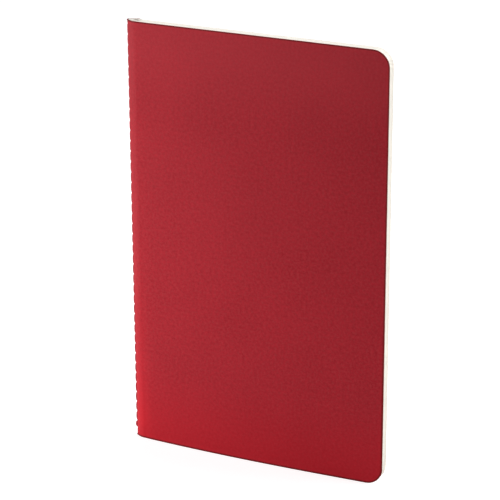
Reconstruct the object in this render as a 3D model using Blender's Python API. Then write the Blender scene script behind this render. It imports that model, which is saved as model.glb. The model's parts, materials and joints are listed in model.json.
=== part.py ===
"""Sewn notebook in a soft card cover, closed and standing on its tail edge.

One card is folded round the back of twenty nested sheets, and a lockstitch runs
through the fold from head to tail. Here the card is a front panel, a back panel
and the nose of the spine between them, and each sheet is two leaves and its share
of the fold. The leaves and the sewn back turn about the fold axis, an upright line
just inside the nose. X runs from spine to fore-edge, Y from front to back, Z up.
"""

import math

import bmesh
import bpy

MM = 0.001

# Driving dimensions

COVER_WIDTH = 130 * MM
COVER_HEIGHT = 210 * MM
CORNER_RADIUS = 8 * MM
CARD_THICKNESS = 0.4 * MM
LEAF_COUNT = 40
LEAF_THICKNESS = 0.09 * MM
LEAF_CLEARANCE = 0.03 * MM

POCKET_HEIGHT = 150 * MM
POCKET_INSET = 1 * MM
POCKET_CARD_THICKNESS = 0.2 * MM
POCKET_FLAP_THICKNESS = 0.1 * MM
POCKET_FLAP_WIDTH = 9 * MM
POCKET_FLAP_GAP = 0.3 * MM

RIDGE_RADIUS = 1.2 * MM
NEEDLE_THREAD_RADIUS = 0.25 * MM
BOBBIN_THREAD_RADIUS = 0.14 * MM
THREAD_CLEARANCE = 0.04 * MM
STITCH_PITCH = 5.15 * MM
HEAD_MARGIN = 1.9 * MM
TAIL_MARGIN = 3.2 * MM
STITCH_ARCH = 0.12 * MM
BACK_TACK_LENGTH = 3.6 * MM
BACK_TACK_ARCH = 0.4 * MM
THREAD_TAIL = 1 * MM
BOBBIN_SWAY = 0.54 * MM

FOLD_CLEARANCE = 0.1 * MM
TURNING_CLEARANCE = 0.15 * MM
VALLEY_DEPTH_FROM_AXIS = 0.5 * MM
VALLEY_MOUTH_WIDTH = 2.2 * MM
CREASE_STAND_OFF = 0.5 * MM

CORNER_STEPS = 5
FLANK_STEPS = 5
RIDGE_STEPS = 6
MOUTH_STEPS = 4
HOLE_STEPS = 3
BEND_STEPS = 2
HOOK_STEPS = 4
CROSSING_STEPS = 4
STITCH_STEPS = 2
BACK_TACK_STEPS = 4
SHARP_EDGE_ANGLE = math.radians(40)

# Sizes that follow from them

BLOCK_THICKNESS = LEAF_COUNT * (LEAF_THICKNESS + LEAF_CLEARANCE) + LEAF_CLEARANCE
POCKET_THICKNESS = POCKET_CARD_THICKNESS + POCKET_FLAP_THICKNESS + 2 * LEAF_CLEARANCE
THICKNESS = 2 * CARD_THICKNESS + BLOCK_THICKNESS + POCKET_THICKNESS
HALF = THICKNESS / 2
STITCH_STAND = THREAD_CLEARANCE + 2 * NEEDLE_THREAD_RADIUS + BACK_TACK_ARCH

# The sewn back turns inside one circle round the fold axis, and all else stays outside the other.
SEWN_RADIUS = HALF + STITCH_STAND
FREE_RADIUS = SEWN_RADIUS + TURNING_CLEARANCE

FORE_EDGE = COVER_WIDTH - HALF
AXIS_X = HALF + STITCH_STAND - (COVER_WIDTH + STITCH_STAND) / 2

# The nose of the spine is three arcs: each flank leaves its cover level at the crease and runs
# into the ridge, so the flank's radius follows from the ridge's and from the two places.
NOSE_END = math.sqrt(SEWN_RADIUS**2 - HALF**2)
RIDGE_X = RIDGE_RADIUS - HALF
NOSE_LENGTH = NOSE_END - RIDGE_X
FLANK_RADIUS = (NOSE_LENGTH**2 + HALF**2 - RIDGE_RADIUS**2) / (2 * (HALF - RIDGE_RADIUS))
FLANK_TURN = math.degrees(math.atan2(FLANK_RADIUS - HALF, -NOSE_LENGTH))

# The lock, where the two threads hook round each other, lies in the valley of the middle fold.
LOCK_SPACING = NEEDLE_THREAD_RADIUS + THREAD_CLEARANCE + BOBBIN_THREAD_RADIUS
LEG_OFFSET = LOCK_SPACING + THREAD_CLEARANCE
LOCK_X = VALLEY_DEPTH_FROM_AXIS + THREAD_CLEARANCE + BOBBIN_THREAD_RADIUS
STITCH_BEND = NEEDLE_THREAD_RADIUS + THREAD_CLEARANCE
HOLE_RADIUS = STITCH_BEND
VALLEY_FLOOR_WIDTH = 2 * (BOBBIN_SWAY + BOBBIN_THREAD_RADIUS + THREAD_CLEARANCE)


def hole_heights():
    """Heights of the sewing holes, from the head down; the last one ends the short back tack."""
    run = COVER_HEIGHT - HEAD_MARGIN - TAIL_MARGIN - BACK_TACK_LENGTH
    stitches = int(run / STITCH_PITCH)
    first = COVER_HEIGHT - HEAD_MARGIN
    heights = [first - STITCH_PITCH * n for n in range(stitches + 1)]
    return heights + [heights[-1] - BACK_TACK_LENGTH]


def start_clear_of(radius, depth):
    """How far from the fold axis a face at this depth leaves the circle of this radius."""
    return math.sqrt(radius**2 - depth**2)


def arc(centre, radius, first, last, steps):
    """Points of an arc in a plane, both ends included, angles in degrees."""
    angles = [math.radians(first + (last - first) * n / steps) for n in range(steps + 1)]
    return [
        (centre[0] + radius * math.cos(a), centre[1] + radius * math.sin(a)) for a in angles
    ]


def nose(inset):
    """The spine's outline from the back crease round the ridge to the front one, set in evenly."""
    flank = FLANK_RADIUS - inset
    back = arc((NOSE_END, HALF - FLANK_RADIUS), flank, 90, FLANK_TURN, FLANK_STEPS)
    ridge = arc((RIDGE_X, 0), RIDGE_RADIUS - inset, FLANK_TURN, 360 - FLANK_TURN, RIDGE_STEPS)
    front = arc((NOSE_END, FLANK_RADIUS - HALF), flank, 360 - FLANK_TURN, 270, FLANK_STEPS)
    return back + ridge[1:-1] + front


# Materials


def material(name, colour, roughness):
    made = bpy.data.materials.new(name)
    made.use_nodes = True
    shader = made.node_tree.nodes["Principled BSDF"]
    shader.inputs["Base Color"].default_value = (*colour, 1)
    shader.inputs["Roughness"].default_value = roughness
    shader.inputs["Metallic"].default_value = 0
    made.diffuse_color = (*colour, 1)
    return made


# Building blocks


def clear_scene():
    for obj in list(bpy.data.objects):
        bpy.data.objects.remove(obj, do_unlink=True)


def place(obj, parent, location=(0, 0, 0)):
    bpy.context.scene.collection.objects.link(obj)
    obj.location = location
    obj.parent = parent
    return obj


def axis_empty(name, parent, location=(0, 0, 0)):
    empty = bpy.data.objects.new(name, None)
    empty.empty_display_type = "SINGLE_ARROW"
    empty.empty_display_size = COVER_HEIGHT
    return place(empty, parent, location)


def bridge(bm, lower, upper):
    """Adds a closed solid between two outlines of equal length, each a list of points."""
    below = [bm.verts.new(point) for point in lower]
    above = [bm.verts.new(point) for point in upper]
    bm.faces.new(below)
    bm.faces.new(above)
    count = len(below)
    for n in range(count):
        after = (n + 1) % count
        bm.faces.new((below[n], below[after], above[after], above[n]))


def mesh_object(name, bm, parent, location=(0, 0, 0)):
    bmesh.ops.recalc_face_normals(bm, faces=bm.faces)
    mesh = bpy.data.meshes.new(name)
    bm.to_mesh(mesh)
    bm.free()
    mesh.shade_smooth()
    mesh.set_sharp_from_angle(angle=SHARP_EDGE_ANGLE)
    return place(bpy.data.objects.new(name, mesh), parent, location)


def loft(name, lower, upper, finish, parent, location=(0, 0, 0)):
    bm = bmesh.new()
    bridge(bm, lower, upper)
    made = mesh_object(name, bm, parent, location)
    made.data.materials.append(finish)
    return made


def sheet_outline(spine_side, fore_edge, bottom, top, radius, both=True):
    """Outline in X and Z with square corners at the spine and round ones at the fore-edge."""
    low = arc((fore_edge - radius, bottom + radius), radius, -90, 0, CORNER_STEPS)
    high = [(fore_edge, top)]
    if both:
        high = arc((fore_edge - radius, top - radius), radius, 0, 90, CORNER_STEPS)
    return [(spine_side, bottom), *low, *high, (spine_side, top)]


def sheet(name, front, back, finish, parent, origin=(0, 0)):
    """A cover panel or leaf between two depths, its spine edge cut to the free circle."""
    faces = []
    for depth in (front, back):
        start = start_clear_of(FREE_RADIUS, depth)
        outline = sheet_outline(start, FORE_EDGE, 0, COVER_HEIGHT, CORNER_RADIUS)
        faces.append([(x - origin[0], depth - origin[1], z) for x, z in outline])
    return loft(name, *faces, finish, parent, (*origin, 0))


def upright(name, profile, bottom, top, finish, parent):
    """A profile in X and Y drawn straight up."""
    faces = [[(x, y, z) for x, y in profile] for z in (bottom, top)]
    return loft(name, *faces, finish, parent)


def pierce(obj, start, end):
    """Cuts the sewing holes from start to end along X, slots for two legs of thread side by side."""
    bm = bmesh.new()
    for height in hole_heights():
        rim = arc((0, height + LEG_OFFSET), HOLE_RADIUS, 0, 180, HOLE_STEPS)
        rim += arc((0, height - LEG_OFFSET), HOLE_RADIUS, 180, 360, HOLE_STEPS)
        bridge(bm, *([(x, y, z) for y, z in rim] for x in (start, end)))
    cutter = mesh_object("needle_points", bm, obj.parent)
    cutter.hide_render = True
    cutter.display_type = "WIRE"
    cut = obj.modifiers.new("sewing_holes", "BOOLEAN")
    cut.operation = "DIFFERENCE"
    cut.object = cutter


def thread(name, points, radius, finish, parent):
    """A round thread along its points."""
    curve = bpy.data.curves.new(name, "CURVE")
    curve.dimensions = "3D"
    curve.bevel_depth = radius
    curve.bevel_resolution = 1
    curve.use_fill_caps = True
    spline = curve.splines.new("POLY")
    spline.points.add(len(points) - 1)
    for slot, point in zip(spline.points, points):
        slot.co = (*point, 1)
    curve.materials.append(finish)
    return place(bpy.data.objects.new(name, curve), parent)


# The cover card


def cover_panels(card, root, first_leaf):
    """Front panel on its own crease beside the first leaf, and the back panel that holds still."""
    crease = (start_clear_of(FREE_RADIUS, HALF), -HALF - CREASE_STAND_OFF)
    sheet("front_cover", -HALF, CARD_THICKNESS - HALF, card, first_leaf, crease)
    sheet("back_cover", HALF - CARD_THICKNESS, HALF, card, root)


def spine_card(card, sewn_back):
    """The card bent round the folds like a nose, up to the creases beside the covers."""
    inside = HALF - CARD_THICKNESS
    inner_end = start_clear_of(SEWN_RADIUS, inside)
    profile = nose(0) + [(inner_end, -inside), *reversed(nose(CARD_THICKNESS)), (inner_end, inside)]
    spine = upright("spine_card", profile, 0, COVER_HEIGHT, card, sewn_back)
    pierce(spine, -HALF - CARD_THICKNESS, 0)


def nested_folds(paper, sewn_back):
    """The folds of the twenty sheets, nested, with the valley of the middle one open to the leaves."""
    inset = CARD_THICKNESS + FOLD_CLEARANCE
    floor = VALLEY_FLOOR_WIDTH / 2
    low = math.degrees(math.asin(VALLEY_MOUTH_WIDTH / 2 / SEWN_RADIUS))
    high = math.degrees(math.asin((HALF - inset) / SEWN_RADIUS))
    profile = [(VALLEY_DEPTH_FROM_AXIS, floor)]
    profile += arc((0, 0), SEWN_RADIUS, low, high, MOUTH_STEPS)
    profile += nose(inset)
    profile += arc((0, 0), SEWN_RADIUS, -high, -low, MOUTH_STEPS)
    profile += [(VALLEY_DEPTH_FROM_AXIS, -floor)]
    folds = upright("nested_folds", profile, 0, COVER_HEIGHT, paper, sewn_back)
    pierce(folds, -HALF, SEWN_RADIUS)


# The leaves


def leaf_depths(number):
    """Front and back depth of a leaf, numbered from 1 behind the front cover."""
    first = CARD_THICKNESS - HALF + LEAF_CLEARANCE
    front = first + (number - 1) * (LEAF_THICKNESS + LEAF_CLEARANCE)
    return front, front + LEAF_THICKNESS


def leaves(paper, root):
    numbers = range(1, LEAF_COUNT + 1)
    return [sheet(f"leaf_{n:02d}", *leaf_depths(n), paper, root) for n in numbers]


# The pocket inside the back cover


def pocket(paper, root):
    """A flat panel, open at the top, on narrow flaps glued down on its three other sides."""
    back = HALF - CARD_THICKNESS - LEAF_CLEARANCE
    flap_front = back - POCKET_FLAP_THICKNESS
    panel_back = flap_front - LEAF_CLEARANCE
    panel_front = panel_back - POCKET_CARD_THICKNESS
    start = start_clear_of(FREE_RADIUS, panel_front) + POCKET_INSET
    end = FORE_EDGE - POCKET_INSET
    radius = CORNER_RADIUS - POCKET_INSET
    floor = POCKET_INSET + POCKET_FLAP_WIDTH
    side = floor + POCKET_FLAP_GAP

    def lay(name, outline, front, back):
        faces = [[(x, y, z) for x, z in outline] for y in (front, back)]
        loft(name, *faces, paper, root)

    outline = sheet_outline(start, end, POCKET_INSET, POCKET_HEIGHT, radius, both=False)
    lay("pocket_panel", outline, panel_front, panel_back)
    tail = sheet_outline(start, end, POCKET_INSET, floor, radius, both=False)
    lay("pocket_tail_flap", tail, flap_front, back)
    for name, edge in (("spine", start), ("fore_edge", end - POCKET_FLAP_WIDTH)):
        far = edge + POCKET_FLAP_WIDTH
        strip = [(edge, side), (far, side), (far, POCKET_HEIGHT), (edge, POCKET_HEIGHT)]
        lay(f"pocket_{name}_flap", strip, flap_front, back)


# The lockstitch


def stitch(top, bottom, rise, steps):
    """A stitch on the ridge between two heights, arched by the rise, with a bend into each hole."""
    start, end = top - STITCH_BEND, bottom + STITCH_BEND
    points = arc((-HALF, start), STITCH_BEND, 90, 180, BEND_STEPS)
    for n in range(1, steps):
        t = n / steps
        arch = 4 * rise * t * (1 - t)
        points.append((-HALF - STITCH_BEND - arch, start + (end - start) * t))
    return points + arc((-HALF, end), STITCH_BEND, 180, 270, BEND_STEPS)


def needle_path():
    """Over the spine from hole to hole, and down each hole to hook round the bobbin thread."""
    heights = hole_heights()
    points = [(LOCK_X, heights[0] - LEG_OFFSET)]
    for above, below in zip(heights, heights[1:-1]):
        points += stitch(above - LEG_OFFSET, below + LEG_OFFSET, STITCH_ARCH, STITCH_STEPS)
        points += arc((LOCK_X, below), LEG_OFFSET, 90, -90, HOOK_STEPS)
    # The back tack stands prouder, and the thread is trimmed in the last hole.
    top, bottom = heights[-2] - LEG_OFFSET, heights[-1] + LEG_OFFSET
    points += stitch(top, bottom, BACK_TACK_ARCH, BACK_TACK_STEPS)
    points.append((LOCK_X, bottom))
    return [(x, 0, z) for x, z in points]


def bobbin_path():
    """Down the valley of the middle fold, crossing through each hook of the needle thread."""
    heights = hole_heights()
    side = BOBBIN_SWAY
    points = [(LOCK_X, -side, heights[0] + LEG_OFFSET + THREAD_TAIL)]
    for height in heights:
        for n in range(CROSSING_STEPS + 1):
            # From -1 above the hook to 1 below it: steep beside the legs, flat through the hook.
            t = 2 * n / CROSSING_STEPS - 1
            sway = side * math.sin(t * math.pi / 2)
            points.append((LOCK_X, sway, height - LEG_OFFSET * t * abs(t)))
        side = -side
    points.append((LOCK_X, -side, heights[-1] - LEG_OFFSET - THREAD_TAIL))
    return points


def build():
    clear_scene()
    card = material("red_card", (0.33, 0.022, 0.032), 0.75)
    paper = material("ivory_paper", (0.86, 0.83, 0.70), 0.9)
    cotton = material("red_thread", (0.36, 0.02, 0.03), 0.7)

    root = axis_empty("fold_axis", None, (AXIS_X, 0, 0))
    sewn_back = axis_empty("sewn_back_axis", root)
    block = leaves(paper, root)
    cover_panels(card, root, block[0])
    pocket(paper, root)
    spine_card(card, sewn_back)
    nested_folds(paper, sewn_back)
    thread("needle_thread", needle_path(), NEEDLE_THREAD_RADIUS, cotton, sewn_back)
    thread("bobbin_thread", bobbin_path(), BOBBIN_THREAD_RADIUS, cotton, sewn_back)
    print(f"{len(hole_heights())} holes, thickness {THICKNESS / MM:.2f} mm")


build()
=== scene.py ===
# %% [markdown]
# # A thread-sewn notebook in a soft red card cover
#
# The notebook stands on its tail edge. One card is folded round twenty nested
# sheets, and a line of stitches runs down the fold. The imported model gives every
# piece's place and the way it moves. This lesson dresses it: each piece becomes a
# surface worked out with numpy, in the same place, and gets a procedural finish.

# %% Load the frame
import json
import math

import bpy
import numpy as np
from mathutils import Matrix, Vector


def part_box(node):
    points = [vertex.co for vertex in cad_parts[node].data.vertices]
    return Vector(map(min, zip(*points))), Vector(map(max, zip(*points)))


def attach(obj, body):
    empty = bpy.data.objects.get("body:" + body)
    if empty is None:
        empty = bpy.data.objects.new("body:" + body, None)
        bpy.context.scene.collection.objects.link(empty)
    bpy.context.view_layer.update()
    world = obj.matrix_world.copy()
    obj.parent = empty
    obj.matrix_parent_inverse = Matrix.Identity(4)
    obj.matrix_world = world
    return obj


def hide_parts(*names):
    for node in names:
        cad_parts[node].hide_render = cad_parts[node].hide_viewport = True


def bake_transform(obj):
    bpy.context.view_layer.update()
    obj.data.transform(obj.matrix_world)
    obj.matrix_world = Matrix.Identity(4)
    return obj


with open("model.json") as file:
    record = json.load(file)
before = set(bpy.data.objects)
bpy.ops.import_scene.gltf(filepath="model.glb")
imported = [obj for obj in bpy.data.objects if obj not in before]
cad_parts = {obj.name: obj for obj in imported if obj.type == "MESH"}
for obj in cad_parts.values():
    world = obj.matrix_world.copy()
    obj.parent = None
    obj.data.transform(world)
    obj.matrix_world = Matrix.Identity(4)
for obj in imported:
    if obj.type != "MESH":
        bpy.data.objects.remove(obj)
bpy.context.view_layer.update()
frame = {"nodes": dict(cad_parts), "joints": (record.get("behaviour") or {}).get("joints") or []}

MM = 0.001

# %% [markdown]
# ## The measures that everything shares
#
# All the leaves, the covers and the sewn back turn about one upright line just
# inside the spine, the fold axis. Its place comes from the opening joint, and the
# size of the book from the back cover, so nothing here can drift from the model.
# Seen from above, the card's fold is like a nose: a small round ridge in the
# middle, and a slow arc on each side that runs out level into the cover.

# %% Measures of the closed notebook
def joint_x(name):
    """X of a joint's axis."""
    return next(joint["pos_m"][0] for joint in frame["joints"] if joint["name"] == name)


FOLD_X = joint_x("opening")
cover_low, cover_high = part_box("back_cover")
FORE_EDGE, HALF, HEIGHT = cover_high
CARD = cover_high.y - cover_low.y
CORNER = 8 * MM

RIDGE_RADIUS = 1.2 * MM
NOSE_END = 2.552 * MM
nose_length = NOSE_END + HALF - RIDGE_RADIUS
FLANK_RADIUS = (nose_length**2 + HALF**2 - RIDGE_RADIUS**2) / (2 * (HALF - RIDGE_RADIUS))
RIDGE_TURN = math.atan2(FLANK_RADIUS - HALF, nose_length)
RIDGE_RUN = RIDGE_RADIUS * RIDGE_TURN
NOSE_RUN = RIDGE_RUN + FLANK_RADIUS * (math.pi / 2 - RIDGE_TURN)
CARD_RUN = NOSE_RUN + FORE_EDGE - FOLD_X - NOSE_END
print(f"half the card is {CARD_RUN / MM:.1f} mm from ridge to fore-edge")
print(f"the notebook is {2 * HALF / MM:.2f} mm thick")

# %% [markdown]
# ## Sheets as grids
#
# A sheet of card or paper is a grid of points twice over: its outer face and its
# inner face, joined all round by a rim. The points are whole numpy arrays, so one
# formula bends the complete sheet at once. `foreach_set` then puts the arrays into
# the mesh in a single step, which is far quicker than adding faces one by one.
# The rim meets the faces at a right angle, so its edges are marked sharp, and the
# faces themselves are shaded smooth.


# %% A helper that closes two grids into one sheet
def sheet_quads(rows, columns):
    """Four-cornered faces of a closed sheet with rows x columns points on each face.

    The corner of a cell is row * columns + column. The second face holds the same
    cells in the opposite order, and the rim joins each step of the border.
    """
    index = np.arange(rows * columns).reshape(rows, columns)
    corners = (index[:-1, :-1], index[:-1, 1:], index[1:, 1:], index[1:, :-1])
    near = np.stack(corners, axis=-1).reshape(-1, 4)
    far = near[:, ::-1] + rows * columns
    border = np.concatenate([index[0, :-1], index[:-1, -1], index[-1, :0:-1], index[:0:-1, 0]])
    after = np.roll(border, -1)
    rim = np.stack([after, border, border + rows * columns, after + rows * columns], axis=-1)
    return np.concatenate([near, far, rim])


def enclosed_volume(points, quads):
    """Volume inside the faces: a sixth of the sum of corner . (next x after next) over the triangles."""
    a, b, c, d = (points[quads[:, n]] for n in range(4))
    halves = (a * np.cross(b, c)).sum(axis=1) + (a * np.cross(c, d)).sum(axis=1)
    return halves.sum() / 6


SHARP = math.radians(40)


def make_piece(name, points, quads, flat_places):
    """A smooth shaded mesh object at the origin, turned outwards, with its flat places as an attribute."""
    if enclosed_volume(points, quads) < 0:
        quads = quads[:, ::-1]
    mesh = bpy.data.meshes.new(name)
    mesh.vertices.add(len(points))
    mesh.vertices.foreach_set("co", points.astype(np.float32).ravel())
    mesh.loops.add(quads.size)
    mesh.loops.foreach_set("vertex_index", quads.astype(np.int32).ravel())
    mesh.polygons.add(len(quads))
    mesh.polygons.foreach_set("loop_start", np.arange(0, quads.size, 4, dtype=np.int32))
    mesh.update(calc_edges=True)
    mesh.validate()
    flat = mesh.attributes.new("flat_place", "FLOAT_VECTOR", "POINT")
    flat.data.foreach_set("vector", flat_places.astype(np.float32).ravel())
    mesh.shade_smooth()
    mesh.set_sharp_from_angle(angle=SHARP)
    made = bpy.data.objects.new(name, mesh)
    bpy.context.scene.collection.objects.link(made)
    return made


def make_sheet(name, near, far, flat):
    """A closed sheet from two grids of points, each rows x columns x 3, and its flat places."""
    rows, columns = near.shape[:2]
    points = np.concatenate([near.reshape(-1, 3), far.reshape(-1, 3)])
    places = np.concatenate([flat.reshape(-1, 3)] * 2)
    return make_piece(name, points, sheet_quads(rows, columns), places)


print("a 3 x 4 sheet has", len(sheet_quads(3, 4)), "faces")

# %% [markdown]
# ## Where the rows and columns go
#
# The two corners at the fore-edge are rounded. If the rows stand at equal angles
# of the corner's arc, each row simply ends where the arc is, and the outline comes
# out round without any cutting. Columns crowd together at the spine, where the
# card bends, and at the fore-edge, and spread out in the flat between.


# %% Rows, columns and the rounded corners
def crowded(count, crowding):
    """Shares from 0 to 1, closer at both ends: t minus crowding times sin(2 pi t) over 2 pi."""
    t = np.linspace(0, 1, count)
    return t - crowding * np.sin(2 * np.pi * t) / (2 * np.pi)


def row_heights(corner_rows, straight_rows):
    """Heights of the rows: radius times (1 - cos angle) in the corners, even steps between."""
    corner = CORNER * (1 - np.cos(np.linspace(0, np.pi / 2, corner_rows)))
    middle = np.linspace(CORNER, HEIGHT - CORNER, straight_rows)[1:-1]
    return np.concatenate([corner, middle, HEIGHT - corner[::-1]])


def corner_cut(z):
    """How far the round corner draws the edge in at a height: R - sqrt(R^2 - (depth into the corner)^2)."""
    into = np.clip(np.maximum(CORNER - z, z - (HEIGHT - CORNER)), 0, CORNER)
    return CORNER - np.sqrt(CORNER**2 - into**2)


print("rows in a corner, mm:", (row_heights(6, 10)[:6] / MM).round(2))

# %% [markdown]
# ## The belly of the front cover
#
# The photograph shows the tail edge of the cover bowed towards the reader, while
# the head edge is straight: the soft card and the leaves behind it belly out
# between the fold and the fore-edge. One function of place and height gives this
# belly. The front cover takes all of it, the last leaf none, and the leaves
# between take their share, so no leaf cuts its neighbour.

# %% The belly
BELLY = 1.7 * MM
SEAM_SETBACK = 0.55 * MM
SEAM_RUN = NOSE_RUN - SEAM_SETBACK


def belly(x, z):
    """Push towards the reader: sin(pi t^0.85) across the leaf, fading up to the head as (1 - height)^1.1.

    t is 0 at the seam beside the spine and 1 at the fore-edge. Another factor, 1 - exp(-(t / 0.015)^2),
    lets the curve start level, so that it leaves the fold without a crease.
    """
    start = FOLD_X + NOSE_END - SEAM_SETBACK
    t = np.clip((x - start) / (FORE_EDGE - start), 0, 1)
    across = np.sin(np.pi * t**0.85) * (1 - np.exp(-((t / 0.015) ** 2)))
    return BELLY * across * (1 - np.clip(z / HEIGHT, 0, 1)) ** 1.1


print(f"belly at the middle of the tail edge: {belly(0.0, 0.0) / MM:.2f} mm")

# %% [markdown]
# ## The card's path round the fold
#
# Walk along the card from the ridge and note how far it has turned: the turn
# grows quickly on the ridge, slowly on the flank, and stays at a right angle on
# the flat cover. The outward direction at each turn and the centre of the arc
# give the point. The same walk serves both sides and both faces of the card.


# %% The card's path
def card_point(run, depth, side):
    """x and y of the card at a run from the ridge and a depth below its outer face.

    On an arc the point is centre + (radius - depth) * outward, with outward =
    (-cos turn, side * sin turn) and turn = run / radius plus the turn before it.
    On the cover the turn is 90 degrees and the point moves straight on.
    """
    on_ridge = run < RIDGE_RUN
    flank_turn = RIDGE_TURN + (run - RIDGE_RUN) / FLANK_RADIUS
    turn = np.where(on_ridge, run / RIDGE_RADIUS, np.minimum(flank_turn, np.pi / 2))
    radius = np.where(on_ridge, RIDGE_RADIUS, FLANK_RADIUS)
    centre_x = np.where(on_ridge, RIDGE_RADIUS - HALF, NOSE_END + np.maximum(run - NOSE_RUN, 0))
    centre_y = np.where(on_ridge, 0, HALF - FLANK_RADIUS)
    x = centre_x - (radius - depth) * np.cos(turn)
    y = centre_y + (radius - depth) * np.sin(turn)
    return FOLD_X + x, side * y


ridge_x, _ = card_point(np.array(0.0), 0, 1)
seam_x, seam_y = card_point(np.array(SEAM_RUN), 0, 1)
print(f"ridge at x {ridge_x / MM:.2f} mm, seam at x {seam_x / MM:.2f} mm, y {seam_y / MM:.2f} mm")

# %% [markdown]
# ## Front and back cover
#
# Both covers are the same sheet of card on either side of the block: a grid whose
# columns follow the card's path and whose rows end at the rounded corners. The
# front one adds the belly. Beside the fold it turns with the first leaf, and past
# its crease it swings on its own. The back cover holds still. The leaves have
# crept a little past it, so that its edge can't be seen behind theirs in the
# photograph.

# %% Build the covers
COVER_COLUMNS = crowded(104, 0.9)
COVER_ROWS = row_heights(12, 88)
CREEP = 0.3 * MM


def cover_grids(side, bellied, drawn_in):
    """Outer and inner grid of a cover, and the flat places (run, side, height) of its points.

    Each row is as long as the card from the seam on, less the rounded corner and what the
    cover is drawn in. bellied is the share of the belly that the cover takes, 0 or 1.
    """
    z = COVER_ROWS[:, None] + 0 * COVER_COLUMNS[None, :]
    length = CARD_RUN - drawn_in - corner_cut(z) - SEAM_RUN
    z = z * (1 - drawn_in / HEIGHT)
    run = SEAM_RUN + length * COVER_COLUMNS[None, :]
    grids = []
    for depth in (0, CARD):
        x, y = card_point(run, depth, side)
        grids.append(np.stack([x, y - bellied * belly(x, z), z], axis=-1))
    flat = np.stack([run, np.full_like(run, side), z], axis=-1)
    return grids[0], grids[1], flat


front_cover = make_sheet("cover_front", *cover_grids(-1, 1, 0))
back_cover = make_sheet("cover_back", *cover_grids(1, 0, CREEP))
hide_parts("front_cover")
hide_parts("back_cover")

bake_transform(front_cover)
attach(back_cover, "back_cover")
for piece in (front_cover, back_cover):
    print(piece.name, len(piece.data.polygons), "faces")

# %% [markdown]
# ## The sewn spine
#
# The card over the spine is pulled in by the thread: a shallow groove runs along
# the ridge, with a dimple where each stitch goes in. At head and tail the cut card
# has a tiny burr, where the knife pushed the fold outwards. All three are pushes
# along the card's outward direction, each a bell curve of the run times a factor
# of the height.
# The spine is made as two halves that meet under the stitches.

# %% Heights of the sewing holes
STITCH_PITCH = 5.15 * MM
HEAD_MARGIN = 1.9 * MM
REGULAR_STITCHES = 39
BACK_TACK = 3.6 * MM
holes = HEIGHT - HEAD_MARGIN - STITCH_PITCH * np.arange(REGULAR_STITCHES + 1)
holes = np.append(holes, holes[-1] - BACK_TACK)
print(len(holes), "holes from", round(holes[0] / MM, 2), "down to", round(holes[-1] / MM, 2), "mm")

# %% Build the two halves of the spine
GROOVE, GROOVE_WIDTH = 0.06 * MM, 0.6 * MM
DIMPLE, DIMPLE_WIDTH, DIMPLE_HEIGHT = 0.16 * MM, 0.8 * MM, 0.55 * MM
BURR, BURR_WIDTH, BURR_HEIGHT = 0.35 * MM, 1.2 * MM, 0.7 * MM
SPINE_COLUMNS, SPINE_ROWS = 26, 701


def bell(distance, width):
    """exp(-(distance / width)^2), 1 in the middle."""
    return np.exp(-((distance / width) ** 2))


def spine_push(run, z):
    """Outward push of the card: minus groove and dimples, plus a burr at either end.

    The groove is a bell of the run between the first hole and the last. A dimple is a bell
    of the run times a bell of the distance to the nearest hole. The burr is a bell of the
    run times the square of the share of the burr's height that is reached.
    """
    from_hole = np.abs(z[..., None] - holes).min(axis=-1)
    sewn = (z < holes[0]) & (z > holes[-1])
    groove = GROOVE * bell(run, GROOVE_WIDTH) * sewn
    dimple = DIMPLE * bell(run, DIMPLE_WIDTH) * bell(from_hole, DIMPLE_HEIGHT)
    near_end = np.clip(1 - np.minimum(z, HEIGHT - z) / BURR_HEIGHT, 0, 1) ** 2
    return BURR * near_end * bell(run, BURR_WIDTH) - groove - dimple


def spine_grids(side):
    """Outer and inner grid of half the spine from the ridge to its seam with the cover."""
    run = (SEAM_RUN * np.linspace(0, 1, SPINE_COLUMNS) ** 1.3)[None, :]
    z = np.linspace(0, HEIGHT, SPINE_ROWS)[:, None]
    run, z = np.broadcast_arrays(run, z)
    push = spine_push(run, z)
    grids = [np.stack([*card_point(run, depth - push, side), z], axis=-1) for depth in (0, CARD)]
    return grids[0], grids[1], np.stack([run, np.full_like(run, side), z], axis=-1)


for side, name in ((-1, "front"), (1, "back")):
    half = make_sheet(f"spine_{name}_half", *spine_grids(side))
    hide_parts("spine_card")
    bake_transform(half)
    print(half.name, len(half.data.polygons), "faces")

# %% [markdown]
# ## The leaves
#
# Forty leaves, each a thin closed sheet with the cover's rounded corners. Every
# leaf takes its own share of the belly. Paper is never quite flat and a stack is
# never trimmed quite even, so each leaf gets a faint wave and a fore-edge that
# differs by a few hundredths of a millimetre, from a seeded generator, so that
# every run gives the same book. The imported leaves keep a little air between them.
# Here each one is swollen by a few thousandths of a millimetre, so that the closed
# edge of the block looks solid.

# %% Build the leaves
LEAF_COUNT = 40
ROOT_RADIUS = 4.0 * MM
SWELLING = 0.008 * MM
WAVE_ACROSS, WAVE_UP = 90 * MM, 140 * MM
TRIM_RANGE, WAVE_RANGE = (0.02, 0.14), (0.001, 0.006)
LEAF_COLUMNS = crowded(22, 0.8)
LEAF_ROWS = row_heights(8, 26)
chance = np.random.default_rng(7)


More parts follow.
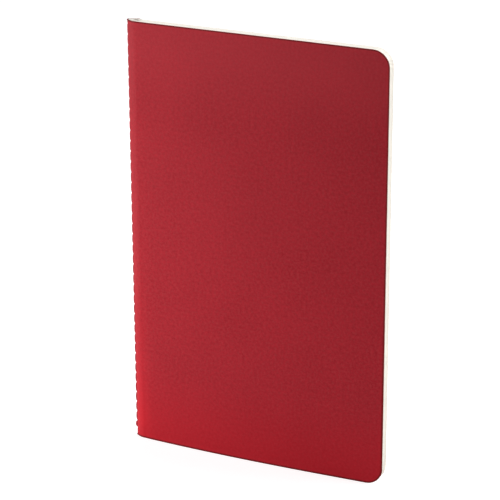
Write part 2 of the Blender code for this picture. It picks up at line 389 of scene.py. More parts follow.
def leaf_grids(front, back, share, trim, wave, phase):
    """Front and back grid of a leaf: x from the root circle to the trimmed edge, y less its belly.

    The wave is wave * sin(2 pi (x / 90 mm + z / 140 mm) + phase), growing from the root on,
    and far below the leaf's own thickness.
    """
    z = LEAF_ROWS[:, None] + 0 * LEAF_COLUMNS[None, :]
    grids = []
    for depth in (front, back):
        root = FOLD_X + math.sqrt(ROOT_RADIUS**2 - depth**2)
        x = root + (FORE_EDGE - trim - corner_cut(z) - root) * LEAF_COLUMNS[None, :]
        ripple = wave * np.sin(2 * np.pi * (x / WAVE_ACROSS + z / WAVE_UP) + phase) * LEAF_COLUMNS
        y = depth - share * belly(x, z) + ripple
        grids.append(np.stack([x, y, z], axis=-1))
    run = grids[0][..., 0] - FOLD_X - NOSE_END + NOSE_RUN
    flat = np.stack([run, np.full_like(z, share), z], axis=-1)
    return grids[0], grids[1], flat


leaves = []
for number in range(1, LEAF_COUNT + 1):
    low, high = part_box(f"leaf_{number:02d}")
    share = 1 - (number - 0.5) / LEAF_COUNT
    trim, wave = chance.uniform(*TRIM_RANGE) * MM, chance.uniform(*WAVE_RANGE) * MM
    phase = chance.uniform(0, 2 * math.pi)
    depths = low.y - SWELLING, high.y + SWELLING
    leaf = make_sheet(f"page_{number:02d}", *leaf_grids(*depths, share, trim, wave, phase))
    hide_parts(f"leaf_{number:02d}")
    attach(leaf, f"leaf_{number:02d}")
    leaves.append(leaf)
print(len(leaves), "leaves of", len(leaves[0].data.polygons), "faces")

# %% [markdown]
# ## The nested folds
#
# Behind the stitches the twenty sheets lie one in another like a stack of U
# shapes. The outermost follows the card, the innermost goes round the little
# valley where the two threads lock. Every sheet between is a mix of those two
# lines, which nests them without a touch. The ends are then drawn to where the
# leaves begin.


# %% Lines of the nested folds
FOLD_INSET = 0.5 * MM
VALLEY_FLOOR = 0.5 * MM
VALLEY_SIDE = 0.74 * MM
FLOOR_SHARE = 0.25
DRAW_FROM = 0.6
PAPER_SHARE = 0.7
FOLD_COLUMNS, FOLD_ROWS = 29, 15


def outer_fold(u):
    """The outermost fold at u from -1 (front) through 0 (ridge) to 1 (back): the card's path, set in."""
    root_x = math.sqrt(ROOT_RADIUS**2 - (HALF - FOLD_INSET) ** 2)
    run = np.abs(u) * (NOSE_RUN + root_x - NOSE_END)
    x, y = card_point(run, FOLD_INSET, 1)
    return x - FOLD_X, np.sign(u) * y


def valley_fold(u):
    """The innermost fold: across the floor for |u| < 0.25, then y falls with the way out, squared."""
    across = np.clip(np.abs(u) / FLOOR_SHARE, 0, 1)
    out = np.clip((np.abs(u) - FLOOR_SHARE) / (1 - FLOOR_SHARE), 0, 1)
    x = VALLEY_FLOOR + (ROOT_RADIUS - VALLEY_FLOOR) * out
    return x, np.sign(u) * VALLEY_SIDE * across * (1 - out**2)


def fold_line(number, between, u):
    """x and y of sheet `number` (1 outermost), `between` from -0.5 to 0.5 across its thickness.

    Mix of outer and valley line by (number - 0.5 + between) / 20. Near |u| = 1 the smooth step
    s = 3w^2 - 2w^3 of w = (|u| - 0.6) / 0.4 draws y to the leaf's own depth and x to the root circle.
    """
    mix = (number - 0.5 + between) / (LEAF_COUNT / 2)
    (outer_x, outer_y), (inner_x, inner_y) = outer_fold(u), valley_fold(u)
    x = outer_x + (inner_x - outer_x) * mix
    y = outer_y + (inner_y - outer_y) * mix
    ends = []
    for leaf_number, outwards in ((number, 1), (LEAF_COUNT + 1 - number, -1)):
        low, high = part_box(f"leaf_{leaf_number:02d}")
        ends.append((low.y + high.y) / 2 + between * (high.y - low.y) * outwards)
    w = np.clip((np.abs(u) - DRAW_FROM) / (1 - DRAW_FROM), 0, 1)
    draw = w * w * (3 - 2 * w)
    leaf_y = np.where(u < 0, ends[0], ends[1])
    y = y + (leaf_y - y) * draw
    x = x + (np.sqrt(np.maximum(ROOT_RADIUS**2 - y**2, 0)) - x) * draw
    return FOLD_X + x, y


def fold_grids(number, u):
    """The two faces of a fold, straight from tail to head; the paper takes 0.7 of its share."""
    z = np.linspace(0, HEIGHT, FOLD_ROWS)[:, None] + 0 * u[None, :]
    grids = []
    for between in (-PAPER_SHARE / 2, PAPER_SHARE / 2):
        x, y = fold_line(number, between, u)
        grids.append(np.stack([x + 0 * z, y + 0 * z, z], axis=-1))
    flat = np.stack([np.abs(u) * ROOT_RADIUS + 0 * z, np.sign(u) + 0 * z, z], axis=-1)
    return grids[0], grids[1], flat


# %% [markdown]
# ## The fold halves
#
# When the notebook opens, every fold opens from a narrow U to a wide V. Here each
# fold is made in its closed place as two halves, the front one and the back one,
# which meet at the ridge.


fold_halves = []
for number in range(1, LEAF_COUNT // 2 + 1):
    front_grids = fold_grids(number, np.linspace(-1, 0, FOLD_COLUMNS))
    front = make_sheet(f"fold_{number:02d}_front", *front_grids)
    back_grids = fold_grids(number, np.linspace(0, 1, FOLD_COLUMNS))
    back = make_sheet(f"fold_{number:02d}_back", *back_grids)
    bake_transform(front)
    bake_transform(back)
    fold_halves += [front, back]
for piece in fold_halves:
    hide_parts("nested_folds")
print(len(fold_halves), "half folds of", len(front.data.polygons), "faces")

# %% [markdown]
# ## The two threads of the lockstitch
#
# The needle thread is three plies twisted together. Its section is a circle with
# three lobes, and the lobes turn as the thread goes on, which gives the ropy look.
# Its path stays in one upright plane: over the spine in a low scallop that sinks
# into the card at each hole, and deep in the fold half round the bobbin thread.
# The photograph shows the stitches drawn tighter towards the head, so they rise
# less there. The last stitch is the short back tack, sewn over more than once, so
# it is a fat round lump. The bobbin thread snakes down the valley from side to
# side, through each hook of the needle thread.

# %% Threads as twisted tubes
NEEDLE_RADIUS = 0.25 * MM
BOBBIN_RADIUS = 0.14 * MM
PLIES = 3
TWIST_PITCH = 1.5 * MM


def smooth_path(points, thickness, spacing):
    """The same line with points at an even spacing, by running distance, and its thickness there."""
    step = np.linalg.norm(np.diff(points, axis=0), axis=1)
    far = np.concatenate([[0], np.cumsum(step)])
    places = np.linspace(0, far[-1], int(far[-1] / spacing) + 1)
    path = np.stack([np.interp(places, far, points[:, n]) for n in range(3)], axis=1)
    return path, places, np.interp(places, far, thickness)


def twisted_thread(name, points, thickness, flat_side, spacing, section_points):
    """A tube along a path in one plane; flat_side is the direction across that plane.

    Section: centre + r (cos a . normal + sin a . flat_side), with r = the radius there times
    (0.84 + 0.16 |cos(plies / 2 (a - twist))|) and twist = 2 pi distance / pitch. The ends are capped.
    """
    path, far, radius = smooth_path(points, thickness, spacing)
    along = np.gradient(path, axis=0)
    along /= np.linalg.norm(along, axis=1)[:, None]
    normal = np.cross(along, flat_side)
    normal /= np.linalg.norm(normal, axis=1)[:, None]
    a = np.linspace(0, 2 * np.pi, section_points, endpoint=False)[None, :]
    twist = (2 * np.pi * far / TWIST_PITCH)[:, None]
    r = radius[:, None] * (0.84 + 0.16 * np.abs(np.cos(PLIES / 2 * (a - twist))))
    ring = path[:, None, :] + r[..., None] * (
        np.cos(a)[..., None] * normal[:, None, :] + np.sin(a)[..., None] * np.asarray(flat_side)
    )
    rows = len(path)
    index = np.arange(rows * section_points).reshape(rows, section_points)
    around = np.roll(index, -1, axis=1)
    quads = np.stack([index[:-1], around[:-1], around[1:], index[1:]], axis=-1).reshape(-1, 4)
    n = np.arange(section_points // 2 - 1)
    caps = [
        np.stack([row[n], row[n + 1], row[-n - 2], row[-n - 1]], axis=-1)[:, ::-turn]
        for row, turn in ((index[0], 1), (index[-1], -1))
    ]
    flat = np.stack([far[:, None] + 0 * a, twist + 0 * a, a + 0 * twist], axis=-1)
    return make_piece(name, ring.reshape(-1, 3), np.concatenate([quads, *caps]), flat.reshape(-1, 3))


# %% Paths of the two threads
LEG = 0.47 * MM
LOCK_X = 0.68 * MM
SINK = 0.15 * MM
STITCH_RISE = 0.54 * MM
TIGHT_RISE = 0.2 * MM
TACK_RISE = 0.62 * MM
TACK_SWELL = 0.3 * MM
SWAY = 0.54 * MM
TAIL_LENGTH = 1 * MM


def arc_points(centre, radius, first, last, count):
    """Points (x, z) of an arc, by the cosine and sine of even angles in degrees."""
    a = np.radians(np.linspace(first, last, count))
    return np.stack([centre[0] + radius * np.cos(a), centre[1] + radius * np.sin(a)], axis=1)


def stitch_points(top, bottom, rise):
    """One stitch, a scallop: from below the card's face it rises by rise * sin(angle)^0.6.

    The angle runs from 0 to 180 degrees, and the height goes down with its cosine.
    """
    angle = np.linspace(0, np.pi, 25)
    middle, half = (top + bottom) / 2, (top - bottom) / 2
    x = SINK - HALF - rise * np.clip(np.sin(angle), 0, 1) ** 0.6
    return np.stack([x, middle + half * np.cos(angle)], axis=1)


needle = [np.array([[LOCK_X, holes[0] - LEG]])]
for above, below in zip(holes[:-2], holes[1:-1]):
    rise = np.interp(above, (0, HEIGHT), (STITCH_RISE, TIGHT_RISE))
    needle.append(stitch_points(above - LEG, below + LEG, rise))
    needle.append(arc_points((LOCK_X, below), LEG, 90, -90, 9))
back_tack = stitch_points(holes[-2] - LEG, holes[-1] + LEG, TACK_RISE)
needle.append(back_tack)
needle.append(np.array([[LOCK_X, holes[-1] + LEG]]))
needle = np.concatenate(needle)
needle = np.stack([FOLD_X + needle[:, 0], 0 * needle[:, 0], needle[:, 1]], axis=1)
needle_thickness = np.full(len(needle), NEEDLE_RADIUS)
swell = np.sin(np.linspace(0, np.pi, len(back_tack))) ** 0.6
needle_thickness[-len(back_tack) - 1 : -1] += TACK_SWELL * swell

t = np.linspace(-1, 1, 9)[None, :]
side = (-1.0) ** np.arange(len(holes))[:, None]
sway = SWAY * side * np.sin(t * np.pi / 2)
drop = holes[:, None] - LEG * t * np.abs(t)
bobbin = np.stack([0 * drop + FOLD_X + LOCK_X, sway, drop], axis=-1).reshape(-1, 3)
top_end = [FOLD_X + LOCK_X, -SWAY, holes[0] + LEG + TAIL_LENGTH]
low_end = [FOLD_X + LOCK_X, sway[-1, -1], holes[-1] - LEG - TAIL_LENGTH]
bobbin = np.concatenate([[top_end], bobbin, [low_end]])
bobbin_thickness = np.full(len(bobbin), BOBBIN_RADIUS)

# %% Build the threads
ALONG_X, ALONG_Y = (1.0, 0.0, 0.0), (0.0, 1.0, 0.0)
NEEDLE_STEP, NEEDLE_SIDES = 0.16 * MM, 18
BOBBIN_STEP, BOBBIN_SIDES = 0.2 * MM, 12
needle_thread = twisted_thread(
    "sewing_thread", needle, needle_thickness, ALONG_Y, NEEDLE_STEP, NEEDLE_SIDES
)
bobbin_thread = twisted_thread(
    "under_thread", bobbin, bobbin_thickness, ALONG_X, BOBBIN_STEP, BOBBIN_SIDES
)
for piece, node in ((needle_thread, "needle_thread"), (bobbin_thread, "bobbin_thread")):
    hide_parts(node)
    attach(piece, "sewn_back")
    print(piece.name, len(piece.data.polygons), "faces")

# %% [markdown]
# ## Building blocks for the finishes
#
# Every finish here is made of nodes. Short helpers keep the node trees readable:
# one adds a node and wires its inputs, and the others do arithmetic, ramps, noise
# and mixes with it. What several finishes share becomes a node group with named
# sockets, built once.


# %% Node helpers
def add_node(tree, kind, inputs=None, **settings):
    """A node of this kind with its settings; an input is a value or another node's output."""
    made = tree.nodes.new(kind)
    for key, value in settings.items():
        setattr(made, key, value)
    for key, value in (inputs or {}).items():
        if isinstance(value, bpy.types.NodeSocket):
            tree.links.new(value, made.inputs[key])
        else:
            made.inputs[key].default_value = value
    return made


def reckon(tree, operation, a, b=0.0, clamp=False):
    """The output of a Math node."""
    return add_node(tree, "ShaderNodeMath", {0: a, 1: b}, operation=operation, use_clamp=clamp).outputs[0]


def times(tree, a, b):
    """a times b."""
    return reckon(tree, "MULTIPLY", a, b)


def plus(tree, a, b, clamp=False):
    """a plus b."""
    return reckon(tree, "ADD", a, b, clamp)


def less(tree, a, b, clamp=False):
    """a less b."""
    return reckon(tree, "SUBTRACT", a, b, clamp)


def ramp(tree, value, low, high):
    """A smooth step from 0 at low to 1 at high."""
    inputs = {"Value": value, "From Min": low, "From Max": high}
    return add_node(tree, "ShaderNodeMapRange", inputs, interpolation_type="SMOOTHSTEP").outputs[0]


def fade(tree, value, low, high):
    """A smooth step from 1 at low to 0 at high."""
    return less(tree, 1.0, ramp(tree, value, low, high))


def noise(tree, place, scale, detail, roughness=0.6):
    """Noise between 0 and 1 around a half."""
    inputs = {"Vector": place, "Scale": scale, "Detail": detail, "Roughness": roughness}
    return add_node(tree, "ShaderNodeTexNoise", inputs).outputs[0]


def mix_colour(tree, share, first, second):
    """A mix of two colours: the first at share 0, the second at 1."""
    made = add_node(tree, "ShaderNodeMix", data_type="RGBA")
    for socket, value in zip((made.inputs[0], made.inputs[6], made.inputs[7]), (share, first, second)):
        if isinstance(value, bpy.types.NodeSocket):
            tree.links.new(value, socket)
        else:
            socket.default_value = value
    return made.outputs[2]


def new_group(name, inputs, outputs):
    """An empty node group with named inputs (name, kind, value) and outputs (name, kind)."""
    group = bpy.data.node_groups.new(name, "ShaderNodeTree")
    for label, kind, value in inputs:
        socket = group.interface.new_socket(label, in_out="INPUT", socket_type=kind)
        if value is not None:
            socket.default_value = value
    for label, kind in outputs:
        group.interface.new_socket(label, in_out="OUTPUT", socket_type=kind)
    entry = group.nodes.new("NodeGroupInput")
    leave = group.nodes.new("NodeGroupOutput")
    return group, entry.outputs, leave.inputs


def use_group(tree, group, **inputs):
    """The group placed in a tree, with its own values."""
    return add_node(tree, "ShaderNodeGroup", inputs, node_tree=group).outputs


def new_finish(name):
    """A new material, its node tree and its shader."""
    made = bpy.data.materials.new(name)
    made.use_nodes = True
    return made, made.node_tree, made.node_tree.nodes["Principled BSDF"]


def stored_place(tree):
    """The flat place that a piece carries as an attribute."""
    return add_node(tree, "ShaderNodeAttribute", attribute_name="flat_place").outputs["Vector"]


def split(tree, place):
    """The X, Y and Z of a place."""
    return add_node(tree, "ShaderNodeSeparateXYZ", {0: place}).outputs


print("helpers ready")

# %% [markdown]
# ## Fibre: the shared grain of card and paper
#
# Card and paper are felted fibres. Their colour drifts a little over centimetres,
# is mottled over millimetres and speckled below that. The group sums three noises
# of those sizes and gives the sum as a shade, and the two finer ones as a height
# for the bump. Each finish sets how coarse the fibres are. The same shade makes
# the felt a little rougher in one place than in another.

# %% The fibre group
fibre, given, result = new_group(
    "fibre",
    [("Place", "NodeSocketVector", None), ("Coarseness", "NodeSocketFloat", 1.0)],
    [("Shade", "NodeSocketFloat"), ("Height", "NodeSocketFloat")],
)
finer = reckon(fibre, "DIVIDE", 1.0, given["Coarseness"])
drift = noise(fibre, given["Place"], times(fibre, finer, 35.0), 2.0, 0.5)
mottle = noise(fibre, given["Place"], times(fibre, finer, 650.0), 3.0, 0.65)
speck = noise(fibre, given["Place"], times(fibre, finer, 3200.0), 2.0, 0.7)
both = plus(fibre, times(fibre, drift, 0.12), times(fibre, mottle, 0.5))
fibre.links.new(plus(fibre, both, times(fibre, speck, 0.38)), result["Shade"])
fibre.links.new(plus(fibre, times(fibre, mottle, 0.5), speck), result["Height"])


def felt_surface(tree, shader, grain, smoothest, roughest, strength, depth):
    """Roughness between two values by the fibres' shade, and a bump by their height."""
    inputs = {"Value": grain["Shade"], "To Min": smoothest, "To Max": roughest}
    roughness = add_node(tree, "ShaderNodeMapRange", inputs)
    tree.links.new(roughness.outputs[0], shader.inputs["Roughness"])
    inputs = {"Height": grain["Height"], "Strength": strength, "Distance": depth}
    bump = add_node(tree, "ShaderNodeBump", inputs)
    tree.links.new(bump.outputs[0], shader.inputs["Normal"])


print("fibre group:", len(fibre.nodes), "nodes")

# %% [markdown]
# ## The cut edge of the card
#
# Along the head, the tail, the fore-edge and the round corners the photograph
# shows a thin dark line along the cut, and a faint light line just inside it.
# Both need one number: how far a point is from the cut. For a rectangle with
# round corners there is an exact formula. Take how far the point is past the
# corner's centre in each direction. Where both are positive the distance comes
# from the root of their squares, elsewhere from the larger one. The flat place,
# stored on the card when it was built, feeds it, so the line stays on the edge
# when the cover swings.

# %% The cut edge group
cut_edge, given, result = new_group(
    "cut_edge",
    [("Flat Place", "NodeSocketVector", None), ("Line", "NodeSocketFloat", 0.6 * MM)],
    [("Dark Line", "NodeSocketFloat"), ("Light Line", "NodeSocketFloat"), ("Distance", "NodeSocketFloat")],
)
flat_place = split(cut_edge, given["Flat Place"])
past_x = less(cut_edge, flat_place["X"], CARD_RUN - CORNER)
from_middle = reckon(cut_edge, "ABSOLUTE", less(cut_edge, flat_place["Z"], HEIGHT / 2))
past_z = less(cut_edge, from_middle, HEIGHT / 2 - CORNER)
over_x = reckon(cut_edge, "MAXIMUM", past_x, 0.0)
over_z = reckon(cut_edge, "MAXIMUM", past_z, 0.0)
squares = plus(cut_edge, times(cut_edge, over_x, over_x), times(cut_edge, over_z, over_z))
rounded = less(cut_edge, CORNER, reckon(cut_edge, "SQRT", squares))
inside = reckon(cut_edge, "MINIMUM", reckon(cut_edge, "MAXIMUM", past_x, past_z), 0.0)
distance = less(cut_edge, rounded, inside)
shares = reckon(cut_edge, "DIVIDE", distance, given["Line"])
cut_edge.links.new(fade(cut_edge, shares, 0.7, 1.15), result["Dark Line"])
rise = ramp(cut_edge, shares, 1.0, 1.6)
fall = ramp(cut_edge, shares, 2.0, 3.4)
cut_edge.links.new(less(cut_edge, rise, fall), result["Light Line"])
cut_edge.links.new(distance, result["Distance"])
print("cut edge group:", len(cut_edge.nodes), "nodes")

# %% [markdown]
# ## The red card
#
# The card is dyed through and has no gloss: a deep red with mottling, and a thin
# dark line along the cut edge. Beside the fold a painted light brightens the card,
# where light from the left falls on the curving flank, most of all a little above
# the tail. On the ridge itself a painted shade under the stitches makes a darker
# line, and a lighter painted shade covers the flank beside it, most of all at the
# head. Two reds are mixed by the fibre's shade, and a third, dustier one by a
# noise of its own. A painted sheen makes the card paler at the head, and painted
# light from the floor makes it brighter and redder at the tail. Then the painted
# light and shade of the fold and the two edge lines are laid over them. The dark
# line is narrow at the head and wider at the tail, as in the photograph.

# %% The card finish
CARD_DEEP = (0.308, 0.0082, 0.0162, 1)
CARD_WARM = (0.496, 0.0198, 0.0330, 1)
CARD_DUSTY = (0.395, 0.0500, 0.0560, 1)
# a paler red for the painted sheen at the head
CARD_PAINTED_SHEEN = (0.560, 0.0420, 0.0560, 1)
# a brighter red for the painted light from the floor at the tail
CARD_PAINTED_BOUNCE = (0.580, 0.0095, 0.0200, 1)
# a lighter red for the painted light beside the fold, also used for the light line
CARD_PAINTED_LIGHT = (0.680, 0.0190, 0.0310, 1)
# a dark red for the painted shade on the ridge and the flank
CARD_PAINTED_SHADE = (0.200, 0.0120, 0.0180, 1)
CARD_CUT = (0.150, 0.0060, 0.0065, 1)
LINE_AT_TAIL, LINE_AT_HEAD = 0.9 * MM, 0.6 * MM


def dye_and_painted_light(tree, flat, up, shade):
    """Two reds by fibre shade, a dusty one by noise, then painted sheen at the head and painted light at
    the tail.
    """
    colour = mix_colour(tree, ramp(tree, shade, 0.3, 0.7), CARD_DEEP, CARD_WARM)
    dusty = ramp(tree, noise(tree, flat, 900.0, 3.0), 0.42, 0.68)
    colour = mix_colour(tree, times(tree, dusty, 0.34), colour, CARD_DUSTY)
    # painted sheen: paler and less saturated towards the head
    head_sheen = ramp(tree, up, 0.78, 0.98)
    colour = mix_colour(tree, times(tree, head_sheen, 0.35), colour, CARD_PAINTED_SHEEN)
    # painted light from the floor: brighter and redder towards the tail
    tail_bounce_light = fade(tree, up, -0.05, 0.22)
    return mix_colour(tree, times(tree, tail_bounce_light, 0.55), colour, CARD_PAINTED_BOUNCE)


def painted_light_share(tree, flat, run, height, up):
    """Painted light beside the fold: a squared fade, faint above and strong near the tail, in patches."""
    beside_fold = fade(tree, run, 2.5 * MM, 15 * MM)
    towards_tail = reckon(tree, "POWER", less(tree, 1.0, up, clamp=True), 4.0)
    towards_tail = times(tree, towards_tail, ramp(tree, height, -8 * MM, 13 * MM))
    strength = plus(tree, times(tree, towards_tail, 1.1), 0.06)
    patchy = ramp(tree, noise(tree, flat, 260.0, 3.0), -0.2, 0.6)
    fold_light = times(tree, times(tree, beside_fold, beside_fold), strength)
    return times(tree, fold_light, patchy)


def painted_shade_share(tree, run, up):
    """Painted shade under the stitches, and on the flank beside them, more so towards the head."""
    on_ridge = fade(tree, run, 1.2 * MM, 2.4 * MM)
    on_flank = fade(tree, run, 3 * MM, 7 * MM)
    headward_shade = plus(tree, times(tree, ramp(tree, up, 0.72, 0.92), 0.14), 0.32)
    return plus(tree, times(tree, on_ridge, 0.3), times(tree, on_flank, headward_shade))


def card_finish():
    """Mottled matte red card with painted light and shade at the fold, head and tail, and dark cut edges.
    """
    made, tree, shader = new_finish("red_card_finish")
    flat = stored_place(tree)
    places = split(tree, flat)
    run, height = places["X"], places["Z"]
    up = reckon(tree, "DIVIDE", height, HEIGHT)
    grain = use_group(tree, fibre, Place=flat, Coarseness=1.0)
    width = less(tree, LINE_AT_TAIL, times(tree, up, LINE_AT_TAIL - LINE_AT_HEAD))
    edge = use_group(tree, cut_edge, **{"Flat Place": flat, "Line": width})
    colour = dye_and_painted_light(tree, flat, up, grain["Shade"])
    # painted light beside the fold, where light from the left falls on the flank
    colour = mix_colour(tree, painted_light_share(tree, flat, run, height, up), colour, CARD_PAINTED_LIGHT)
    # painted shade under the stitches on the ridge and on the flank beside them
    colour = mix_colour(tree, painted_shade_share(tree, run, up), colour, CARD_PAINTED_SHADE)
    colour = mix_colour(tree, times(tree, edge["Light Line"], 0.08), colour, CARD_PAINTED_LIGHT)
    colour = mix_colour(tree, times(tree, edge["Dark Line"], 0.85), colour, CARD_CUT)
    tree.links.new(colour, shader.inputs["Base Color"])
    felt_surface(tree, shader, grain, 0.62, 0.8, 0.25, 0.03 * MM)
    shader.inputs["Specular IOR Level"].default_value = 0.12
    return made


card = card_finish()
for name in ("cover_front", "cover_back", "spine_front_half", "spine_back_half"):
    bpy.data.objects[name].data.materials.append(card)
print("card finish on 4 pieces")

# %% [markdown]
# ## The ivory paper
#
# The leaves are ivory, with a finer fibre than the card. Faint blue-grey ruled
# lines run across each leaf: a line is where the height, divided by the line
# spacing, is halfway between two whole numbers. The lines stop short of the head,
# of the tail and of the cut, so that the closed block shows none. The cut edges
# of the leaves are a little darker, which draws the block's fine layers.

# %% The paper finish
PAPER_LIGHT = (0.960, 0.925, 0.860, 1)
PAPER_DARK = (0.920, 0.880, 0.800, 1)
PAPER_CUT = (0.940, 0.895, 0.820, 1)
RULED_LINE = (0.480, 0.540, 0.620, 1)
LINE_SPACING = 7 * MM
HEAD_BLANK, TAIL_BLANK = 17 * MM, 5 * MM
PAPER_EDGE = 0.05 * MM


def ruled_share(tree, height, to_cut):
    """1 on a ruled line and 0 beside it, from the height and the distance to the cut."""
    phase = reckon(tree, "FRACT", reckon(tree, "DIVIDE", height, LINE_SPACING))
    from_line = reckon(tree, "ABSOLUTE", less(tree, phase, 0.5))
    line = fade(tree, from_line, 0.012, 0.03)
    below_head = reckon(tree, "LESS_THAN", height, HEIGHT - HEAD_BLANK)
    above_tail = reckon(tree, "GREATER_THAN", height, TAIL_BLANK)
    line = times(tree, line, times(tree, below_head, above_tail))
    return times(tree, line, ramp(tree, to_cut, 0.2 * MM, 0.6 * MM))


def paper_finish(name, ruled):
    """Ivory paper: a page with ruled lines and cut edges, or plain."""
    made, tree, shader = new_finish(name)
    place = stored_place(tree) if ruled else add_node(tree, "ShaderNodeTexCoord").outputs["Object"]
    grain = use_group(tree, fibre, Place=place, Coarseness=0.7)
    colour = mix_colour(tree, ramp(tree, grain["Shade"], 0.3, 0.7), PAPER_DARK, PAPER_LIGHT)
    if ruled:
        edge = use_group(tree, cut_edge, **{"Flat Place": place, "Line": PAPER_EDGE})
        line = ruled_share(tree, split(tree, place)["Z"], edge["Distance"])
        colour = mix_colour(tree, times(tree, line, 0.7), colour, RULED_LINE)
        colour = mix_colour(tree, times(tree, edge["Dark Line"], 0.5), colour, PAPER_CUT)
    tree.links.new(colour, shader.inputs["Base Color"])
    felt_surface(tree, shader, grain, 0.75, 0.9, 0.15, 0.02 * MM)
    shader.inputs["Specular IOR Level"].default_value = 0.25
    return made


page_paper = paper_finish("ivory_page_paper", True)
for piece in [*leaves, *fold_halves]:
    piece.data.materials.append(page_paper)
print("page paper on", len(leaves) + len(fold_halves), "pieces")

# %% [markdown]
# ## The pocket inside the back cover
#
# The pocket's panel and its three glued flaps are flat sheets, and the packed
# solids already have that shape. They only take a finish: the same ivory paper,
# without lines, read from Object coordinates because these pieces never bend.

# %% Finish the pocket
pocket_paper = paper_finish("ivory_pocket_paper", False)
for name in ("pocket_panel", "pocket_tail_flap", "pocket_spine_flap", "pocket_fore_edge_flap"):
    node = frame["nodes"][name]
    node.data.materials.clear()
    node.data.materials.append(pocket_paper)
    print(name, "finished")

# %% [markdown]
# ## The red thread
#
# The thread is dyed like the card. Its plies are shapes already, and the finish
# adds a painted shade down between two plies, which follows the twist stored on
# the thread, a lighter red on their crests, fine fibres along it, and a little gloss.

# %% The thread finish
# the lit red of the ply crests and the shaded red of the grooves between them
THREAD_LIT_RED = (0.560, 0.0560, 0.0750, 1)
THREAD_SHADED_RED = (0.320, 0.0240, 0.0340, 1)


def thread_finish():
    """Twisted red thread with painted shade between its plies and a lighter red on their crests."""
    made, tree, shader = new_finish("red_thread_finish")
    stored = stored_place(tree)
    places = split(tree, stored)
    turned = less(tree, places["Z"], places["Y"])
    crest_light = reckon(tree, "ABSOLUTE", reckon(tree, "COSINE", times(tree, turned, PLIES / 2)))
    hairs = noise(tree, stored, 9.0, 3.0)
    # painted shade down between the plies, lighter red on their crests, broken by fine fibres
    share = plus(tree, times(tree, crest_light, 0.8), times(tree, hairs, 0.3), clamp=True)
    tree.links.new(mix_colour(tree, share, THREAD_SHADED_RED, THREAD_LIT_RED), shader.inputs["Base Color"])
    shader.inputs["Roughness"].default_value = 0.42
    return made


cotton = thread_finish()
for piece in (needle_thread, bobbin_thread):
    piece.data.materials.append(cotton)
print("thread finish on 2 pieces")

# %% [markdown]
# ## Floor, world and lamps
#
# The photograph's ground is plain white. The camera and reflections see the world
# as full white, but it lights the object more softly. The floor glows for them in
# the same way. Near the notebook the lamps light the floor too, so the glow is a
# little weaker there, and the contact shadow stays. The light comes from the left:
# a lamp on the side of the spine falls off across the cover, as in the
# photograph. A weak one fills the lower right, and two more stand behind the
# plane of the front cover, one above the head and one beside the fore-edge, so
# that they brighten the edges of the leaves and the back, but not the front.


# %% Floor and world
def seen_directly(tree):
    """1 for rays that show the background itself: camera, glossy or transmission rays."""
    rays = add_node(tree, "ShaderNodeLightPath").outputs
    seen = plus(tree, rays["Is Camera Ray"], rays["Is Glossy Ray"], clamp=True)
    return plus(tree, seen, rays["Is Transmission Ray"], clamp=True)


WORLD_LIGHT = 0.08
world = bpy.data.worlds.new("white_studio")
bpy.context.scene.world = world
world.use_nodes = True
backdrop = world.node_tree.nodes["Background"]
backdrop.inputs["Color"].default_value = (1, 1, 1, 1)
seen = seen_directly(world.node_tree)
level = plus(world.node_tree, times(world.node_tree, seen, 1 - WORLD_LIGHT), WORLD_LIGHT)
world.node_tree.links.new(level, backdrop.inputs["Strength"])

FLOOR_HALF = 4.0
FLOOR_GAP = 0.05 * MM
GLOW_NEAR = 0.84
corners = [(x * FLOOR_HALF, y * FLOOR_HALF, 0) for x, y in ((-1, -1), (1, -1), (1, 1), (-1, 1))]
floor_mesh = bpy.data.meshes.new("floor")
floor_mesh.from_pydata(corners, [], [(0, 1, 2, 3)])
floor = bpy.data.objects.new("floor", floor_mesh)
floor.location.z = -FLOOR_GAP
bpy.context.scene.collection.objects.link(floor)
floor_finish, tree, shader = new_finish("white_floor")
shader.inputs["Base Color"].default_value = (0.5, 0.5, 0.5, 1)
shader.inputs["Roughness"].default_value = 1.0
shader.inputs["Specular IOR Level"].default_value = 0.0
shader.inputs["Emission Color"].default_value = (1, 1, 1, 1)
place = add_node(tree, "ShaderNodeTexCoord").outputs["Object"]
from_book = add_node(tree, "ShaderNodeVectorMath", {0: place}, operation="LENGTH").outputs["Value"]
further = times(tree, ramp(tree, from_book, 0.1, 0.6), 1 - GLOW_NEAR)
glow = times(tree, seen_directly(tree), plus(tree, further, GLOW_NEAR))
tree.links.new(glow, shader.inputs["Emission Strength"])
floor_mesh.materials.append(floor_finish)
print("floor and world ready")


# %% Lamps
def soft_lamp(name, place, target, width, height, power):
    """A rectangular area lamp that looks at a target."""
    lamp = bpy.data.lights.new(name, "AREA")
    lamp.shape = "RECTANGLE"
    lamp.size, lamp.size_y = width, height
    lamp.energy = power
    made = bpy.data.objects.new(name, lamp)
    made.location = place
    made.rotation_euler = (Vector(target) - Vector(place)).to_track_quat("-Z", "Y").to_euler()
    bpy.context.scene.collection.objects.link(made)
    return made


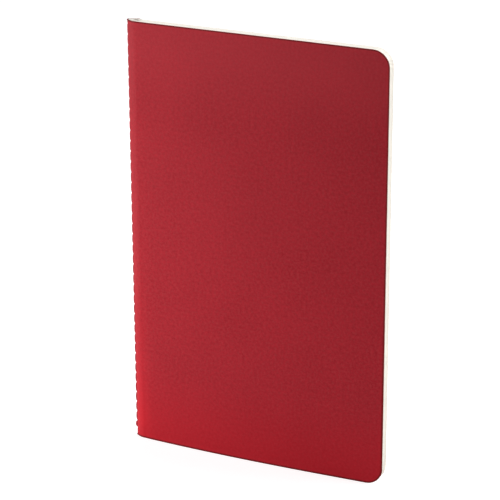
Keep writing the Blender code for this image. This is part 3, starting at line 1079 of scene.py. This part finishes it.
middle = (0, 0, HEIGHT / 2)
soft_lamp("window_lamp", (-0.40, -0.227, 0.09), middle, 0.14, 0.16, 2.15)
soft_lamp("fill_lamp", (0.078, -0.13, 0.03), (0.04, 0, 0.05), 0.12, 0.04, 0.013)
soft_lamp("head_lamp", (0, 0.16, 0.85), (0, 0, HEIGHT), 0.3, 0.2, 4.6)
soft_lamp("edge_lamp", (0.5, 0.2, 0.17), middle, 0.3, 0.24, 2.7)
print("four lamps ready")

# %% [markdown]
# ## The camera
#
# The photograph looks about 25 degrees round from the front and 21 degrees down,
# from about a metre away through a long lens. The lens has no shift, so that the
# other views keep their framing. The aim point lies a few millimetres off the
# middle of the cover, which places the notebook in the frame as in the photograph.

# %% Camera
AZIMUTH = math.radians(24.86)
ELEVATION = math.radians(20.88)
ROLL = math.radians(-0.26)
DISTANCE = 1.0
FOCAL_PIXELS = 2165.0
IMAGE_WIDTH = 500
AIM_RIGHT, AIM_UP = -2.08 * MM, 2.85 * MM

camera_data = bpy.data.cameras.new("camera")
camera_data.sensor_width = 36.0
camera_data.lens = FOCAL_PIXELS / IMAGE_WIDTH * camera_data.sensor_width
camera_data.clip_start, camera_data.clip_end = 0.05, 20
camera = bpy.data.objects.new("camera", camera_data)
right = Vector((math.cos(AZIMUTH), math.sin(AZIMUTH), 0))
level_share = math.cos(ELEVATION)
back = Vector((math.sin(AZIMUTH) * level_share, -math.cos(AZIMUTH) * level_share, math.sin(ELEVATION)))
cover_middle = Vector(((FORE_EDGE + ridge_x) / 2, -HALF, HEIGHT / 2))
aim = cover_middle + right * AIM_RIGHT + Vector((0, 0, AIM_UP))
facing = (-back).to_track_quat("-Z", "Y").to_matrix().to_4x4() @ Matrix.Rotation(ROLL, 4, "Z")
camera.matrix_world = Matrix.Translation(aim + back * DISTANCE) @ facing
bpy.context.scene.collection.objects.link(camera)
bpy.context.scene.camera = camera
print(f"lens {camera_data.lens:.1f} mm at {DISTANCE:.3f} m")

# %% [markdown]
# ## Colour management
#
# The Standard view shows colours as they are written. The dressed notebook may
# stand only a little proud of the imported one.

# %% Finish
bpy.context.scene.view_settings.view_transform = "Standard"
